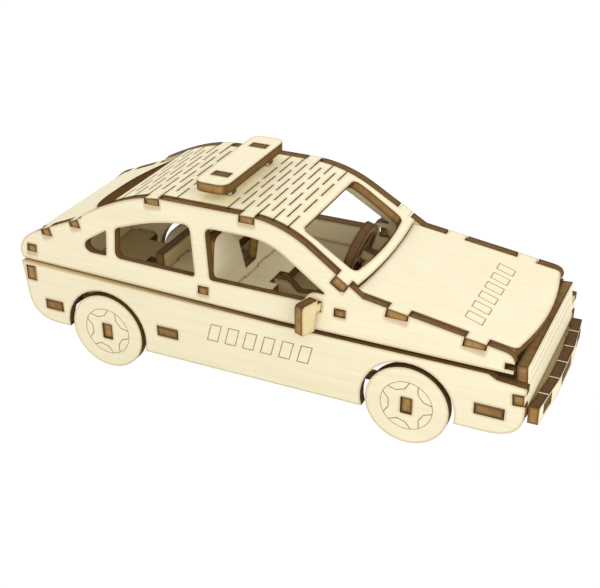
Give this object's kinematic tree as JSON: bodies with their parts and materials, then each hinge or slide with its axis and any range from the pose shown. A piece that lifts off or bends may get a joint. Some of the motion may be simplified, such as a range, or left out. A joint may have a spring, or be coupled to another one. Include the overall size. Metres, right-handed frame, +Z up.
{
  "type": "wooden puzzle car",
  "caption": "Toy saloon car slotted together from thin laser-cut plywood, with a slit roof that bends, open windows, a light bar and wheels on turning axles.",
  "frame": {"origin": "on the ground plane under the wheels, in the middle of the overall length and width", "axes": "+X to the nose, +Y to the car's left, +Z up"},
  "size_m": [0.1686, 0.0692, 0.065],
  "materials": {
    "ply_face": "bare pale birch plywood, laser-cut",
    "ply_inner": "bare birch plywood, inner pieces",
    "wheel_face": "bare pale birch plywood with engraved rim lines"
  },
  "bodies": {
    "car_body": {"lower_side_right": "ply_face", "lower_side_left": "ply_face", "upper_side_right": "ply_face", "upper_side_left": "ply_face", "roof": "ply_face", "hood": "ply_face", "rear_deck": "ply_face", "tail_panel": "ply_face", "grille_panel": "ply_face", "front_bumper": "ply_face", "floor_plate": "ply_inner", "axle_bearer_front_right": "ply_inner", "axle_bearer_front_left": "ply_inner", "axle_bearer_rear_right": "ply_inner", "axle_bearer_rear_left": "ply_inner", "front_seat_back": "ply_inner", "front_seat_cushion": "ply_inner", "front_seat_riser": "ply_inner", "rear_seat_back": "ply_inner", "rear_seat_cushion": "ply_inner", "rear_seat_riser": "ply_inner", "dashboard": "ply_inner", "steering_column": "ply_inner", "steering_wheel": "ply_inner", "wing_mirror_right": "ply_face", "wing_mirror_left": "ply_face", "light_bar": "ply_face", "light_bar_leg_right": "ply_face", "light_bar_leg_left": "ply_face"},
    "front_axle_set": {"front_axle": "ply_inner", "front_wheel_right": "wheel_face", "front_wheel_left": "wheel_face"},
    "rear_axle_set": {"rear_axle": "ply_inner", "rear_wheel_right": "wheel_face", "rear_wheel_left": "wheel_face"}
  },
  "joints": [
    {"name": "front_axle_turn", "type": "hinge", "parent": "car_body", "child": "front_axle_set", "pos_m": [0.04625, 0, 0.0125], "axis": [0, 1, 0], "continuous": true},
    {"name": "rear_axle_turn", "type": "hinge", "parent": "car_body", "child": "rear_axle_set", "pos_m": [-0.05315, 0, 0.0125], "axis": [0, 1, 0], "continuous": true}
  ]
}
